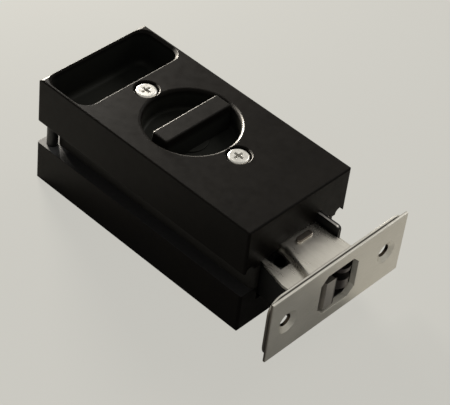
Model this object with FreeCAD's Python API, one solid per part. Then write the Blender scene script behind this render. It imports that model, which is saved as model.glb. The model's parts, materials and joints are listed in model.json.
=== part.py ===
import FreeCAD, Part
import math
import os

from FreeCAD import Vector

# Sliding door block lock with a swinging hook bolt.
# Millimetres. The block lies on its outer face: X runs from the finger pull to the faceplate,
# Y along the faceplate, Z through the door's thickness. The origin is the middle of the
# footprint, on the outer face.

# The block: two shells on a core, with an open groove round three sides
block_length = 86.6
block_width = 42.4
outer_shell_height = 14.2
groove_height = 8.7
inner_shell_height = 16.0
groove_depth_side = 4.3
groove_depth_end = 4.5
plan_corner_radius = 0.8
long_edge_radius = 0.5
pull_end_radius = 2.0
latch_end_radius = 0.6

# Relief channel under the inner shell's rim
channel_lip = 0.7
channel_radius = 1.7
channel_depth = 1.8

# Finger pulls
pull_wall_end = 1.6
pull_wall_side = 1.5
pull_length = 17.0
pull_corner_radius = 4.0
inner_pull_depth = 12.5
outer_pull_depth = 10.8
pull_floor_radius = 2.0
rim_break = 0.8

# Cups round the turns
turn_from_pull_end = 42.9
inner_cup_radius = 14.5
inner_cup_rim_radius = 1.1
inner_cup_depth = 7.2
outer_cup_radius = 12.0
outer_cup_depth = 3.4
cup_floor_radius = 1.2
outer_cup_rim_radius = 0.4
relief_roof = 2.5

# Clamp screws and the threaded posts they pull on
screw_offset = 19.0
screw_head_radius = 3.35
screw_head_height = 2.1
screw_head_recess = 0.3
screw_head_edge_radius = 0.7
screw_shank_radius = 2.0
screw_length = 26.0
screw_cross_width = 0.9
screw_cross_length = 3.4
screw_cross_foot = 1.5
screw_cross_depth = 1.3
counterbore_radius = 3.85
counterbore_bevel = 0.3
post_radius = 3.5
post_bore_radius = 2.05
post_top_gap = 0.3
post_seat_height = 4.4

# Locating posts in the groove
locating_post_radius = 1.75
locating_post_inset_end = 3.8
locating_post_inset_side = 2.9
locating_post_sink = 1.5

# Thumb turn, release turn, spindle and clips
thumb_bar_length = 26.4
thumb_bar_width = 6.0
thumb_bar_foot_width = 7.2
thumb_bar_proud = 1.3
thumb_bar_edge_radius = 0.6
thumb_bar_crown_radius = 0.5
turn_lift = 0.3
journal_radius = 5.5
spindle_side = 5.0
spindle_edge = 0.5
spindle_cover = 3.2
release_head_radius = 10.4
release_head_rise = 0.2
coin_slot_length = 16.6
coin_slot_width = 1.8
coin_slot_depth = 1.7
clip_radius = 7.9
clip_height = 0.8
clip_opening = 6.4
clip_groove_depth = 0.9
washer_height = 0.5
clip_pocket_radius = 8.3
clip_pocket_depth = 2.3
clip_pocket_wall = 1.5
journal_stop_gap = 0.3

# Crank hub
crank_travel_deg = 90.0
hub_radius = 6.0
hub_height = 2.8
crank_pin_radius = 1.5
crank_arm_radius = 2.8

# Drive bar
bar_height = 2.6
bar_width = 4.9
bar_to_rivet = 0.4
yoke_wall_x = 1.6
yoke_wall_y = 1.3
yoke_corner_radius = 0.9
yoke_clearance = 0.4
cam_slot_clearance = 0.3
bar_head_wall_rear = 1.5
bar_head_wall_front = 1.3
bar_head_wall_side = 1.3
slot_steps = 8

# Hook bolt, pivoted close behind the faceplate
hook_pivot_from_face = 4.4
hook_pivot_offset = 5.4
hook_swing_deg = 80.0
hook_outer_radius = 10.9
hook_hub_radius = 3.2
hook_face_gap = 0.4
hook_nose_width = 4.1
hook_above_latch = 3.6
hook_below_latch = 6.7
cheek_above_latch = 3.0
cheek_below_latch = 4.8
hook_back_deg = -118.0
hook_outside_mid_deg = -90.0
hub_low_deg = -85.0
hub_mid_deg = 5.0
hub_high_deg = 100.0
lever_radius = 12.0
lever_start_deg = -175.0
lever_end_radius = 2.6
lever_low_deg = -70.0
lever_tip_deg = 190.0
lever_high_deg = 100.0
throat_root_x = 0.9
throat_root_y = -4.2
throat_mid_x = 1.7
throat_mid_y = -5.7
hook_solid_from_x = -7.4
hook_solid_below_y = -4.3
trunnion_radius = 1.4
trunnion_skin = 0.4
drive_pin_radius = 1.5

# Latch case
latch_above_outer_shell = 3.8
sheet = 1.0
case_depth = 14.1
case_below_latch = 8.0
case_rear_from_latch_end = 20.4
flange_ledge_inside = 1.0
flange_ledge_outside = 3.4
flange_taper_from_face = 5.3
tray_lip_drop = 1.5
tray_lip_height = 0.7
tray_lip_inset = 0.8
box_rise = 1.9
box_edge_radius = 0.8
box_front_rear = 6.6
box_front_face = 10.2
box_beside_trunnion = 1.4
box_taper_start = 1.5
tab_length = 6.0
tab_width = 1.8
tab_height = 0.9
tab_offset = 0.4
tab_from_latch_end = 2.5
rivet_radius = 0.9
rivet_head_radius = 1.9
rivet_head_height = 0.8
rivet_from_case_rear = 3.0
rivet_head_to_box = 0.9
rivet_from_case_side = 2.2
relief_from_latch_end = 4.0
relief_reach = 5.8
relief_ledge = 0.8
relief_strip = 1.6
bracket_sheet = 1.2
bracket_height = 4.7
bracket_reach = 8.1
bracket_foot_width = 3.6
bracket_length = 22.5
bracket_corner_radius = 1.2
bracket_to_case_edge = 0.2

# Faceplates
faceplate_reach = 17.2
faceplate_length = 57.0
faceplate_width = 22.5
front_plate_thickness = 1.0
rear_plate_thickness = 1.0
rear_plate_corner_radius = 5.0
plate_hole_spacing = 42.0
plate_hole_radius = 2.1
countersink_radius = 3.9
window_length = 16.0
window_width = 15.0
window_chamfer = 2.6
plate_edge_break = 0.2
fixing_tab_height = 7.0

# Core
core_wall = 3.4
core_corner_radius = 1.5
crank_bay_half_length = 13.2
cross_wall_rear = 13.2

# Clearances
running_gap = 0.05
sliding_gap = 0.2
seat_gap = 0.3
screw_hole_gap = 0.25
cut_margin = 1.0
edge_tolerance = 0.01

# Worked out places
overall_length = block_length + faceplate_reach
pull_end = -overall_length / 2
latch_end = pull_end + block_length
face = overall_length / 2
plate_rear = face - front_plate_thickness - rear_plate_thickness
groove_bottom = outer_shell_height
groove_top = groove_bottom + groove_height
block_height = groove_top + inner_shell_height
half_width = block_width / 2
turn_x = pull_end + turn_from_pull_end
screw_places = [turn_x - screw_offset, turn_x + screw_offset]
pull_start = pull_end + pull_wall_end
pull_stop = pull_start + pull_length
pull_half_width = half_width - pull_wall_side
inner_cup_floor = block_height - inner_cup_depth
core_half_width = half_width - groove_depth_side
core_start = pull_end + groove_depth_end
core_inner_half = core_half_width - core_wall

latch_height = outer_shell_height + latch_above_outer_shell
box_back = hook_pivot_offset + trunnion_radius + box_beside_trunnion
rivet_side = box_back + rivet_head_to_box + rivet_head_radius
case_half_width = rivet_side + rivet_from_case_side
flange_half_width_inside = case_half_width + flange_ledge_inside
flange_half_width_outside = case_half_width + flange_ledge_outside
case_back_outside = box_back + seat_gap + bracket_sheet + bracket_to_case_edge
tab_places = [(-case_half_width, sheet - case_half_width), (case_back_outside - sheet, case_back_outside)]
case_rear = latch_end - case_rear_from_latch_end
case_bottom = latch_height - case_below_latch
lid_top = case_bottom + case_depth
lid_bottom = lid_top - sheet
box_top = lid_top + box_rise
trunnion_bore_top = box_top - trunnion_skin
bracket_top = lid_top + bracket_height

hook_x = face - hook_pivot_from_face
hook_y = hook_pivot_offset
lever_end_deg = lever_start_deg + hook_swing_deg
bar_travel = lever_radius * (
    math.cos(math.radians(lever_end_deg)) - math.cos(math.radians(lever_start_deg)))
crank_radius = bar_travel / (2 * math.sin(math.radians(crank_travel_deg / 2)))
crank_rest_deg = -90.0 - crank_travel_deg / 2
crank_pin_x = turn_x + crank_radius * math.cos(math.radians(crank_rest_deg))
crank_pin_y = crank_radius * math.sin(math.radians(crank_rest_deg))
bar_outer_edge = rivet_side - rivet_radius - bar_to_rivet
bar_inner_edge = bar_outer_edge - bar_width
bar_bottom = latch_height - bar_height / 2
bar_top = latch_height + bar_height / 2
hook_bottom = latch_height - hook_below_latch
hook_top = latch_height + hook_above_latch
cheek_bottom = latch_height - cheek_below_latch
cheek_top = latch_height + cheek_above_latch
hub_bottom = bar_top + seat_gap
hub_top = hub_bottom + hub_height


def box(x0, x1, y0, y1, z0, z1):
    """A block between two corners."""
    return Part.makeBox(x1 - x0, y1 - y0, z1 - z0, Vector(x0, y0, z0))


def rod(x, y, z0, z1, radius):
    """An upright cylinder."""
    return Part.makeCylinder(radius, z1 - z0, Vector(x, y, z0))


def ring(x, y, z0, z1, outer_radius, inner_radius):
    """An upright tube."""
    bore = rod(x, y, z0 - cut_margin, z1 + cut_margin, inner_radius)
    return rod(x, y, z0, z1, outer_radius).cut(bore)


def polygon(points, z):
    """A closed wire through points at one height."""
    corners = [Vector(x, y, z) for x, y in points]
    return Part.makePolygon(corners + [corners[0]])


def prism(points, z0, z1):
    """A polygon drawn up from z0 to z1."""
    return Part.Face(polygon(points, z0)).extrude(Vector(0, 0, z1 - z0))


def rounded_wire(x0, x1, y0, y1, z, radius):
    """A rectangle with round corners, as a wire."""
    slant = radius * (1 - math.sqrt(0.5))
    corners = [
        ((x0 + radius, y0), (x0 + slant, y0 + slant), (x0, y0 + radius)),
        ((x0, y1 - radius), (x0 + slant, y1 - slant), (x0 + radius, y1)),
        ((x1 - radius, y1), (x1 - slant, y1 - slant), (x1, y1 - radius)),
        ((x1, y0 + radius), (x1 - slant, y0 + slant), (x1 - radius, y0)),
    ]
    edges = []
    for index, corner in enumerate(corners):
        start, middle, end = [Vector(x, y, z) for x, y in corner]
        following = corners[(index + 1) % len(corners)][0]
        edges.append(Part.Arc(start, middle, end).toShape())
        edges.append(Part.LineSegment(end, Vector(following[0], following[1], z)).toShape())
    return Part.Wire(edges)


def rounded_box(x0, x1, y0, y1, z0, z1, radius):
    """A block with round upright edges."""
    wire = rounded_wire(x0, x1, y0, y1, z0, radius)
    return Part.Face(wire).extrude(Vector(0, 0, z1 - z0))


def flared_break(x0, x1, y0, y1, radius, z_inner, z_outer, size):
    """The slanted break round a pocket's rim, from z_inner on the wall to z_outer on the face."""
    wall = rounded_wire(x0, x1, y0, y1, z_inner, radius)
    rim = rounded_wire(x0 - size, x1 + size, y0 - size, y1 + size, z_outer, radius + size)
    return Part.makeLoft([wall, rim], True, True)


def hull_of_circles(x0, y0, r0, x1, y1, r1, z0, z1):
    """Two round ends joined by their common tangents."""
    distance = math.hypot(x1 - x0, y1 - y0)
    heading = math.atan2(y1 - y0, x1 - x0)
    lean = math.acos((r0 - r1) / distance)
    corners = []
    for x, y, radius, side in ((x0, y0, r0, 1), (x1, y1, r1, 1), (x1, y1, r1, -1), (x0, y0, r0, -1)):
        angle = heading + side * lean
        corners.append((x + radius * math.cos(angle), y + radius * math.sin(angle)))
    web = prism(corners, z0, z1)
    return web.fuse([rod(x0, y0, z0, z1, r0), rod(x1, y1, z0, z1, r1)]).removeSplitter()


def square_rod(x, y, z0, z1, side, edge):
    """An upright square bar with chamfered edges."""
    half = side / 2
    inner = half - edge
    points = [(x - half, y - inner), (x - inner, y - half), (x + inner, y - half), (x + half, y - inner),
              (x + half, y + inner), (x + inner, y + half), (x - inner, y + half), (x - half, y + inner)]
    return prism(points, z0, z1)


def side_profile(z0, z1, lead_radius, tail_radius):
    """The block's outline seen from the side, with both upper ends rounded."""
    lead = lead_radius * (1 - math.sqrt(0.5))
    tail = tail_radius * (1 - math.sqrt(0.5))
    y = -half_width - cut_margin
    points = [
        Vector(pull_end, y, z0), Vector(pull_end, y, z1 - lead_radius),
        Vector(pull_end + lead, y, z1 - lead), Vector(pull_end + lead_radius, y, z1),
        Vector(latch_end - tail_radius, y, z1), Vector(latch_end - tail, y, z1 - tail),
        Vector(latch_end, y, z1 - tail_radius), Vector(latch_end, y, z0),
    ]
    edges = [
        Part.LineSegment(points[0], points[1]).toShape(),
        Part.Arc(points[1], points[2], points[3]).toShape(),
        Part.LineSegment(points[3], points[4]).toShape(),
        Part.Arc(points[4], points[5], points[6]).toShape(),
        Part.LineSegment(points[6], points[7]).toShape(),
        Part.LineSegment(points[7], points[0]).toShape(),
    ]
    return Part.Face(Part.Wire(edges)).extrude(Vector(0, block_width + 2 * cut_margin, 0))


def end_profile(z0, z1, radius):
    """The block's outline seen from its end, with both upper edges rounded."""
    slant = radius * (1 - math.sqrt(0.5))
    x = pull_end - cut_margin
    points = [
        Vector(x, -half_width, z0), Vector(x, -half_width, z1 - radius),
        Vector(x, -half_width + slant, z1 - slant), Vector(x, -half_width + radius, z1),
        Vector(x, half_width - radius, z1), Vector(x, half_width - slant, z1 - slant),
        Vector(x, half_width, z1 - radius), Vector(x, half_width, z0),
    ]
    edges = [
        Part.LineSegment(points[0], points[1]).toShape(),
        Part.Arc(points[1], points[2], points[3]).toShape(),
        Part.LineSegment(points[3], points[4]).toShape(),
        Part.Arc(points[4], points[5], points[6]).toShape(),
        Part.LineSegment(points[6], points[7]).toShape(),
        Part.LineSegment(points[7], points[0]).toShape(),
    ]
    return Part.Face(Part.Wire(edges)).extrude(Vector(block_length + 2 * cut_margin, 0, 0))


def shell_blank(height, lead_radius):
    """A solid shell standing on z = 0 with its door face up."""
    blank = rounded_box(pull_end, latch_end, -half_width, half_width, 0, height, plan_corner_radius)
    blank = blank.common(side_profile(0, height, lead_radius, latch_end_radius))
    return blank.common(end_profile(0, height, long_edge_radius))


def pull_pocket(height, depth):
    """The finger pull's hollow in a shell whose door face is at height."""
    sides = (pull_start, pull_stop, -pull_half_width, pull_half_width)
    hollow = rounded_box(*sides, height - depth, height + cut_margin, pull_corner_radius)
    floor_edges = [edge for edge in hollow.Edges if edge.BoundBox.ZMax < height - depth + edge_tolerance]
    hollow = hollow.makeFillet(pull_floor_radius, floor_edges)
    flare = flared_break(*sides, pull_corner_radius, height - rim_break, height, rim_break)
    return hollow.fuse(flare)


def cup_hollow(height, depth, radius, rim_radius):
    """A round cup with a rounded floor edge and a rounded rim, about the turn's axis."""
    floor = height - depth
    bend = cup_floor_radius * (1 - math.sqrt(0.5))
    roll = rim_radius * (1 - math.sqrt(0.5))
    lip = radius + rim_radius
    profile = [
        Vector(0, 0, floor), Vector(radius - cup_floor_radius, 0, floor),
        Vector(radius - bend, 0, floor + bend), Vector(radius, 0, floor + cup_floor_radius),
        Vector(radius, 0, height - rim_radius), Vector(radius + roll, 0, height - roll),
        Vector(lip, 0, height), Vector(lip, 0, height + cut_margin), Vector(0, 0, height + cut_margin),
    ]
    edges = [
        Part.LineSegment(profile[0], profile[1]).toShape(),
        Part.Arc(profile[1], profile[2], profile[3]).toShape(),
        Part.LineSegment(profile[3], profile[4]).toShape(),
        Part.Arc(profile[4], profile[5], profile[6]).toShape(),
    ]
    for start, end in zip(profile[6:], profile[7:] + profile[:1]):
        edges.append(Part.LineSegment(start, end).toShape())
    cup = Part.Face(Part.Wire(edges)).revolve(Vector(0, 0, 0), Vector(0, 0, 1), 360)
    cup.translate(Vector(turn_x, 0, 0))
    return cup


def rim_channel():
    """The half round channel just inside the inner shell's lower rim, on three sides."""
    height = groove_top + channel_depth - channel_radius
    inset = channel_lip + channel_radius
    y = half_width - inset
    start = pull_end + inset
    tools = []
    for side in (-1, 1):
        tools.append(Part.makeCylinder(channel_radius, latch_end - start + cut_margin,
                                       Vector(start, side * y, height), Vector(1, 0, 0)))
        tools.append(Part.makeSphere(channel_radius, Vector(start, side * y, height)))
    tools.append(Part.makeCylinder(channel_radius, 2 * y, Vector(start, -y, height), Vector(0, 1, 0)))
    return tools


def latch_bay(z0, z1, half):
    """The room for the latch case at the block's latch end."""
    return box(case_rear - seat_gap, latch_end + cut_margin, -half, half, z0, z1)


def inner_shell():
    """The room side shell: finger pull, cup for the thumb turn and counterbored screw holes."""
    shell = shell_blank(inner_shell_height, pull_end_radius)
    shell.translate(Vector(0, 0, groove_top))
    relief_top = inner_cup_floor - relief_roof
    relief = box(turn_x - screw_offset + counterbore_radius, turn_x + screw_offset - counterbore_radius,
                 -core_inner_half, core_inner_half, groove_top - cut_margin, relief_top)
    relief = relief.cut(rod(turn_x, 0, groove_top - cut_margin, relief_top,
                            clip_pocket_radius + clip_pocket_wall))
    tools = [
        pull_pocket(block_height, inner_pull_depth),
        cup_hollow(block_height, inner_cup_depth, inner_cup_radius, inner_cup_rim_radius),
        relief,
        rod(turn_x, 0, groove_top - cut_margin, block_height, journal_radius + running_gap),
        rod(turn_x, 0, groove_top - cut_margin, groove_top + clip_pocket_depth, clip_pocket_radius),
        latch_bay(groove_top - cut_margin, lid_top + seat_gap, flange_half_width_inside + seat_gap),
        box(case_rear - seat_gap, latch_end + cut_margin, -box_front_rear - seat_gap,
            box_back + seat_gap, lid_top, box_top + seat_gap),
        box(latch_end - bracket_length + bracket_reach - seat_gap, latch_end + cut_margin,
            box_back, box_back + seat_gap + bracket_foot_width + seat_gap, lid_top,
            lid_top + bracket_sheet + seat_gap),
        box(latch_end - bracket_length + bracket_reach - seat_gap, latch_end + cut_margin,
            box_back, box_back + 2 * seat_gap + bracket_sheet, lid_top, bracket_top + seat_gap),
    ]
    for x in screw_places:
        tools.append(rod(x, 0, groove_top - cut_margin, block_height, screw_shank_radius + screw_hole_gap))
        tools.append(rod(x, 0, block_height - screw_head_height - screw_head_recess,
                         block_height + cut_margin, counterbore_radius))
        tools.append(Part.makeCone(counterbore_radius, counterbore_radius + counterbore_bevel,
                                   counterbore_bevel, Vector(x, 0, block_height - counterbore_bevel)))
    for side in (-1, 1):
        tools.append(rivet_head_room(side, lid_top, lid_top + rivet_head_height + seat_gap))
    for side in (-1, 1):
        tools.append(locating_post(side, groove_top - cut_margin, groove_top + locating_post_sink))
    return shell.cut(tools + rim_channel())


def outer_shell():
    """The far side shell: finger pull, shallow cup for the release turn and the posts' seats."""
    shell = shell_blank(outer_shell_height, long_edge_radius)
    shell = shell.cut([
        pull_pocket(outer_shell_height, outer_pull_depth),
        cup_hollow(outer_shell_height, outer_cup_depth, outer_cup_radius, outer_cup_rim_radius),
    ])
    shell.rotate(Vector(0, 0, 0), Vector(1, 0, 0), 180)
    shell.translate(Vector(0, 0, outer_shell_height))
    tools = [
        rod(turn_x, 0, 0, groove_bottom + cut_margin, journal_radius + running_gap),
        rod(turn_x, 0, groove_bottom - clip_pocket_depth, groove_bottom + cut_margin, clip_pocket_radius),
        latch_bay(case_bottom - rivet_head_height - seat_gap, groove_bottom + cut_margin,
                  flange_half_width_inside + seat_gap),
    ]
    for x in screw_places:
        tools.append(rod(x, 0, post_seat_height, groove_bottom + cut_margin, post_radius))
    for side in (-1, 1):
        tools.append(locating_post(side, groove_bottom - locating_post_sink, groove_bottom + cut_margin))
    return shell.cut(tools)


def core_frame():
    """The spacer between the shells that carries the crank bay and flanks the latch case."""
    frame = rounded_box(core_start, latch_end, -core_half_width, core_half_width,
                        groove_bottom, groove_top, core_corner_radius)
    wall_end = case_rear - seat_gap
    bay = rounded_box(turn_x - crank_bay_half_length, turn_x + cross_wall_rear, -core_inner_half,
                      core_inner_half, groove_bottom - cut_margin, groove_top + cut_margin,
                      core_corner_radius)
    case_room = box(wall_end, latch_end + cut_margin, -flange_half_width_inside - seat_gap,
                    flange_half_width_inside + seat_gap, groove_bottom - cut_margin,
                    groove_top + cut_margin)
    bar_slot = box(turn_x, wall_end + cut_margin, -bar_outer_edge - seat_gap,
                   -bar_inner_edge + seat_gap, bar_bottom - sliding_gap, bar_top + sliding_gap)
    holes = [rod(x, 0, groove_bottom - cut_margin, groove_top + cut_margin, post_radius + running_gap)
             for x in screw_places]
    return frame.cut([bay, case_room, bar_slot] + holes)


def locating_post(side, z0, z1):
    """One of the two dowels that stand in the groove at the pull end's corners."""
    y = side * (half_width - locating_post_inset_side)
    return rod(pull_end + locating_post_inset_end, y, z0, z1, locating_post_radius)


def locating_posts():
    """Both dowels, let into the shells above and below the groove."""
    return Part.makeCompound([
        locating_post(side, groove_bottom - locating_post_sink, groove_top + locating_post_sink)
        for side in (-1, 1)])


def cross_recess(x, top):
    """The two crossed slots of a cross recess, narrowing towards its floor."""
    reach = screw_cross_length / 2
    foot = screw_cross_foot / 2
    half_slot = screw_cross_width / 2
    corners = [Vector(-reach, -half_slot, 0), Vector(reach, -half_slot, 0),
               Vector(foot, -half_slot, -screw_cross_depth), Vector(-foot, -half_slot, -screw_cross_depth)]
    outline = Part.makePolygon(corners + [corners[0]])
    slot = Part.Face(outline).extrude(Vector(0, screw_cross_width, 0))
    crossed = slot.copy()
    crossed.rotate(Vector(0, 0, 0), Vector(0, 0, 1), 90)
    recess = slot.fuse(crossed)
    recess.translate(Vector(x, 0, top))
    return recess


def clamp_screw(x):
    """A pan head screw with a cross recess."""
    top = block_height - screw_head_recess
    seat = top - screw_head_height
    head = rod(x, 0, seat, top, screw_head_radius)
    rim = [edge for edge in head.Edges if edge.BoundBox.ZMin > top - edge_tolerance]
    head = head.makeFillet(screw_head_edge_radius, rim)
    shank = rod(x, 0, top - screw_length - screw_head_height, seat, screw_shank_radius)
    return head.fuse(shank).cut(cross_recess(x, top))


def threaded_post(x):
    """A tapped post standing in the outer shell, through the core."""
    return ring(x, 0, post_seat_height, groove_top - post_top_gap, post_radius, post_bore_radius)


def turn_socket(z0, z1):
    """The square hole for the spindle."""
    return square_rod(turn_x, 0, z0, z1, spindle_side + 2 * running_gap, spindle_edge)


def clip_groove(z0, z1):
    """The groove round a journal that a clip snaps into."""
    return ring(turn_x, 0, z0, z1, journal_radius + cut_margin, journal_radius - clip_groove_depth)


def thumb_turn():
    """The straight thumb bar on its round journal, drafted from foot to crown."""
    foot = inner_cup_floor + turn_lift
    crown = block_height + thumb_bar_proud
    half = thumb_bar_length / 2
    foot_half = thumb_bar_foot_width / 2
    crown_half = thumb_bar_width / 2
    lower = rounded_wire(turn_x - foot_half, turn_x + foot_half, -half, half, foot, thumb_bar_edge_radius)
    upper = rounded_wire(turn_x - crown_half, turn_x + crown_half, -half, half, crown,
                         thumb_bar_edge_radius)
    bar = Part.makeLoft([lower, upper], True, True)
    crown_edges = [edge for edge in bar.Edges if edge.BoundBox.ZMin > crown - edge_tolerance]
    bar = bar.makeFillet(thumb_bar_crown_radius, crown_edges)
    journal_end = groove_top + journal_stop_gap
    turn = bar.fuse(rod(turn_x, 0, journal_end, foot, journal_radius)).removeSplitter()
    clip_bottom = groove_top + clip_pocket_depth - washer_height - clip_height
    return turn.cut([
        turn_socket(journal_end - cut_margin, inner_cup_floor + spindle_cover + seat_gap),
        clip_groove(clip_bottom, clip_bottom + clip_height),
    ])


def release_turn():
    """The flush disc with a coin slot, on the journal through the outer shell."""
    head_top = outer_cup_depth - turn_lift
    head = rod(turn_x, 0, release_head_rise, head_top, release_head_radius)
    rim = [edge for edge in head.Edges if edge.BoundBox.ZMax < release_head_rise + edge_tolerance]
    head = head.makeFillet(outer_cup_rim_radius, rim)
    journal_end = groove_bottom - journal_stop_gap
    turn = head.fuse(rod(turn_x, 0, head_top, journal_end, journal_radius)).removeSplitter()
    slot = box(turn_x - coin_slot_length / 2, turn_x + coin_slot_length / 2, -coin_slot_width / 2,
               coin_slot_width / 2, 0, release_head_rise + coin_slot_depth)
    clip_top = groove_bottom - clip_pocket_depth + washer_height + clip_height
    return turn.cut([
        slot,
        turn_socket(outer_cup_depth + spindle_cover - seat_gap, journal_end + cut_margin),
        clip_groove(clip_top - clip_height, clip_top),
    ])


def spindle():
    """The square bar that ties both turns to the crank hub."""
    return square_rod(turn_x, 0, outer_cup_depth + spindle_cover, inner_cup_floor + spindle_cover,
                      spindle_side, spindle_edge)


def turn_clip(z0):
    """An open clip that snaps into a journal's groove."""
    inner = journal_radius - clip_groove_depth + running_gap
    clip = ring(turn_x, 0, z0, z0 + clip_height, clip_radius, inner)
    half_gap = clip_opening / 2
    return clip.cut(box(turn_x, turn_x + clip_radius, -half_gap, half_gap, z0, z0 + clip_height))


def turn_washer(z0):
    """A thin spring washer between a clip and its shell."""
    return ring(turn_x, 0, z0, z0 + washer_height - running_gap, clip_radius, journal_radius + running_gap)


def turn_hub():
    """The crank hub: a round boss on the spindle with an arm to the crank pin."""
    arm = hull_of_circles(turn_x, 0, hub_radius, crank_pin_x, crank_pin_y, crank_arm_radius,
                          hub_bottom, hub_top)
    return arm.cut([
        turn_socket(hub_bottom - cut_margin, hub_top + cut_margin),
        rod(crank_pin_x, crank_pin_y, hub_bottom - cut_margin, hub_top + cut_margin, crank_pin_radius),
    ])


def crank_pin():
    """The pin that works in the drive bar's yoke."""
    return rod(crank_pin_x, crank_pin_y, bar_bottom - seat_gap, hub_top, crank_pin_radius)


def drive_pin_path():
    """The drive pin's places seen from the drive bar, over the whole travel."""
    places = []
    for step in range(slot_steps + 1):
        share = step / slot_steps
        angle = math.radians(lever_start_deg + hook_swing_deg * share)
        x = hook_x + lever_radius * math.cos(angle) - bar_travel * share
        y = hook_y + lever_radius * math.sin(angle)
        places.append((x, y))
    return places


def cam_slot():
    """The curved slot that turns the bar's slide into the hook's swing."""
    z0 = bar_bottom - cut_margin
    z1 = bar_top + cut_margin
    radius = drive_pin_radius + cam_slot_clearance
    path = drive_pin_path()
    slot = None
    for (x0, y0), (x1, y1) in zip(path, path[1:]):
        span = hull_of_circles(x0, y0, radius, x1, y1, radius, z0, z1)
        slot = span if slot is None else slot.fuse(span)
    return slot


def drive_bar():
    """The flat bar from the crank's yoke to the cam slot at the hook."""
    slot_half = crank_pin_radius + yoke_clearance
    yoke_top = crank_pin_y + crank_pin_radius
    yoke_bottom = -crank_radius - slot_half
    yoke = rounded_box(crank_pin_x - slot_half - yoke_wall_x, crank_pin_x + slot_half + yoke_wall_x,
                       yoke_bottom - yoke_wall_y, yoke_top, bar_bottom, bar_top, yoke_corner_radius)
    yoke_slot = hull_of_circles(crank_pin_x, -crank_radius, slot_half, crank_pin_x, crank_pin_y + slot_half,
                                slot_half, bar_bottom - cut_margin, bar_top + cut_margin)
    path = drive_pin_path()
    reach = drive_pin_radius + cam_slot_clearance
    head_rear = min(x for x, y in path) - reach - bar_head_wall_rear
    head_front = path[0][0] + reach + bar_head_wall_front
    head_low = min(y for x, y in path) - reach - bar_head_wall_side
    head_high = max(y for x, y in path) + reach + bar_head_wall_side
    head = rounded_box(head_rear, head_front, head_low, head_high, bar_bottom, bar_top,
                       yoke_corner_radius)
    strip = box(crank_pin_x + slot_half, head_rear + bar_head_wall_rear, -bar_outer_edge,
                -bar_inner_edge, bar_bottom, bar_top)
    bar = yoke.fuse([strip, head]).removeSplitter()
    return bar.cut([yoke_slot, cam_slot()])


def hook_outline():
    """The hook's plan: hub, lever, back, round outside, nose and throat, about its pivot."""
    nose_x = hook_pivot_from_face - hook_face_gap
    nose_y = -math.sqrt(hook_outer_radius ** 2 - nose_x ** 2)
    back = math.radians(hook_back_deg)
    lever = math.radians(lever_start_deg)
    lever_x = lever_radius * math.cos(lever)
    lever_y = lever_radius * math.sin(lever)

    def about(x, y, radius, degrees):
        angle = math.radians(degrees)
        return Vector(x + radius * math.cos(angle), y + radius * math.sin(angle), 0)

    nose_inner = Vector(nose_x, nose_y + hook_nose_width, 0)
    nose_outer = Vector(nose_x, nose_y, 0)
    back_point = Vector(hook_outer_radius * math.cos(back), hook_outer_radius * math.sin(back), 0)
    throat_root = Vector(throat_root_x, throat_root_y, 0)
    hub_low = about(0, 0, hook_hub_radius, hub_low_deg)
    hub_high = about(0, 0, hook_hub_radius, hub_high_deg)
    lever_high = about(lever_x, lever_y, lever_end_radius, lever_high_deg)
    lever_low = about(lever_x, lever_y, lever_end_radius, lever_low_deg)
    lever_tip = about(lever_x, lever_y, lever_end_radius, lever_tip_deg)
    outside_mid = about(0, 0, hook_outer_radius, hook_outside_mid_deg)
    hub_mid = about(0, 0, hook_hub_radius, hub_mid_deg)
    edges = [
        Part.LineSegment(nose_inner, nose_outer).toShape(),
        Part.Arc(nose_outer, outside_mid, back_point).toShape(),
        Part.LineSegment(back_point, lever_low).toShape(),
        Part.Arc(lever_low, lever_tip, lever_high).toShape(),
        Part.LineSegment(lever_high, hub_high).toShape(),
        Part.Arc(hub_high, hub_mid, hub_low).toShape(),
        Part.LineSegment(hub_low, throat_root).toShape(),
        Part.Arc(throat_root, Vector(throat_mid_x, throat_mid_y, 0), nose_inner).toShape(),
    ]
    return Part.Face(Part.Wire(edges))


def hook_bolt():
    """The hook: a full height claw, forked behind so that the drive bar runs between its cheeks."""
    outline = hook_outline()
    outline.translate(Vector(hook_x, hook_y, 0))
    plate = outline.copy()
    plate.translate(Vector(0, 0, cheek_bottom))
    plate = plate.extrude(Vector(0, 0, cheek_top - cheek_bottom))
    claw = outline.copy()
    claw.translate(Vector(0, 0, hook_bottom))
    claw = claw.extrude(Vector(0, 0, hook_top - hook_bottom))
    claw_room = box(hook_x + hook_solid_from_x, face, hook_y - hook_outer_radius - cut_margin,
                    hook_y + hook_solid_below_y, 0, block_height)
    body = plate.fuse(claw.common(claw_room)).removeSplitter()
    fork = box(hook_x - lever_radius - lever_end_radius - cut_margin, face,
               hook_y - hook_outer_radius - cut_margin, hook_y + hook_hub_radius + cut_margin,
               bar_bottom - sliding_gap, bar_top + sliding_gap)
    body = body.cut(fork.cut(claw_room))
    lever = math.radians(lever_start_deg)
    pin_hole = rod(hook_x + lever_radius * math.cos(lever), hook_y + lever_radius * math.sin(lever),
                   cheek_bottom - cut_margin, cheek_top + cut_margin, drive_pin_radius)
    trunnions = [rod(hook_x, hook_y, case_bottom, cheek_bottom, trunnion_radius),
                 rod(hook_x, hook_y, cheek_top, trunnion_bore_top - running_gap, trunnion_radius)]
    return body.cut(pin_hole).fuse(trunnions).removeSplitter()


def drive_pin():
    """The pin across the hook's fork, in the drive bar's cam slot."""
    lever = math.radians(lever_start_deg)
    return rod(hook_x + lever_radius * math.cos(lever), hook_y + lever_radius * math.sin(lever),
               cheek_bottom, cheek_top, drive_pin_radius)


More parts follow.
